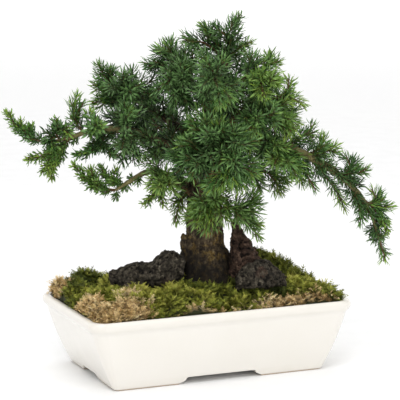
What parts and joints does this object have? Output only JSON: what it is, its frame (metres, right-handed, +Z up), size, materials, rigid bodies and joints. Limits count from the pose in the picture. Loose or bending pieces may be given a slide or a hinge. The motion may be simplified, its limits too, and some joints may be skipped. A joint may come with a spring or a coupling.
{
  "type": "juniper bonsai tree in a pot",
  "caption": "Juniper bonsai with a thick straight trunk and long drooping side limbs of needle sprays, in a shallow rectangular footed glazed pot with moss and dark rocks.",
  "frame": {"origin": "on the table, under the middle of the whole piece's bounding box (the pot's own centre is 3.2 mm along +X and 0.3 mm along +Y from it)", "axes": "+Z up; X along the pot's long side, +X towards the drooping right-hand limb; +Y towards the back of the pot, away from the side the tree is seen from"},
  "size_m": [0.279, 0.182, 0.2772],
  "materials": {
    "glazed_pot": "cream white gloss glaze",
    "screen_plastic": "matte black mesh",
    "soil": "damp dark granular soil",
    "bark": "rough flaking grey-brown bark",
    "lava_rock": "porous dark lava",
    "green_moss": "feathery living moss",
    "dry_moss": "dried tan moss",
    "foliage": "waxy deep green needles",
    "tip_foliage": "waxy yellow-green young needles"
  },
  "bodies": {
    "root": {"pot": "glazed_pot", "drain_screen_left": "screen_plastic", "drain_screen_right": "screen_plastic", "soil": "soil", "tree_wood": "bark", "rock_left_slab": "lava_rock", "rock_peak": "lava_rock", "rock_right_slab": "lava_rock", "moss_green": "green_moss", "moss_dry_front_left": "dry_moss", "moss_dry_back_left": "dry_moss", "moss_dry_front_right": "dry_moss", "spray_left_tip": "foliage", "spray_left_low": "tip_foliage", "spray_left_mid_up": "foliage", "spray_left_tall": "foliage", "spray_left_rosette": "foliage", "spray_left_inner": "foliage", "spray_left_under": "foliage", "spray_left_up": "foliage", "spray_left_up_in": "foliage", "spray_left_up_back": "foliage", "spray_crown_left": "foliage", "spray_crown_far_left": "foliage", "spray_crown_left_front": "foliage", "spray_top_left_sprig": "foliage", "spray_apex": "foliage", "spray_top_right_sprig": "foliage", "spray_top_front": "foliage", "spray_top_back": "foliage", "spray_right_top": "foliage", "spray_right_top_front": "foliage", "spray_right_crown": "foliage", "spray_right_crown_low": "tip_foliage", "spray_right_crown_front": "foliage", "spray_right_up_a": "foliage", "spray_right_up_b": "foliage", "spray_right_up_c": "foliage", "spray_right_out": "foliage", "spray_right_end": "foliage", "spray_right_hang": "foliage", "spray_right_drop_b": "foliage", "spray_right_drop_a": "foliage", "spray_right_under": "foliage", "spray_right_under_front": "foliage", "spray_right_low": "tip_foliage", "spray_right_low_in": "tip_foliage", "spray_low_right": "tip_foliage", "spray_low_front": "tip_foliage", "spray_front_hang": "foliage", "spray_front_left": "foliage", "spray_front_up": "foliage", "spray_low_left_tip": "tip_foliage", "spray_low_left_mid": "tip_foliage", "spray_low_left_hang": "tip_foliage", "spray_low_trunk": "tip_foliage", "spray_low_left_front": "tip_foliage", "spray_back_top": "foliage", "spray_back_left": "foliage", "spray_back_right": "foliage"}
  },
  "joints": []
}
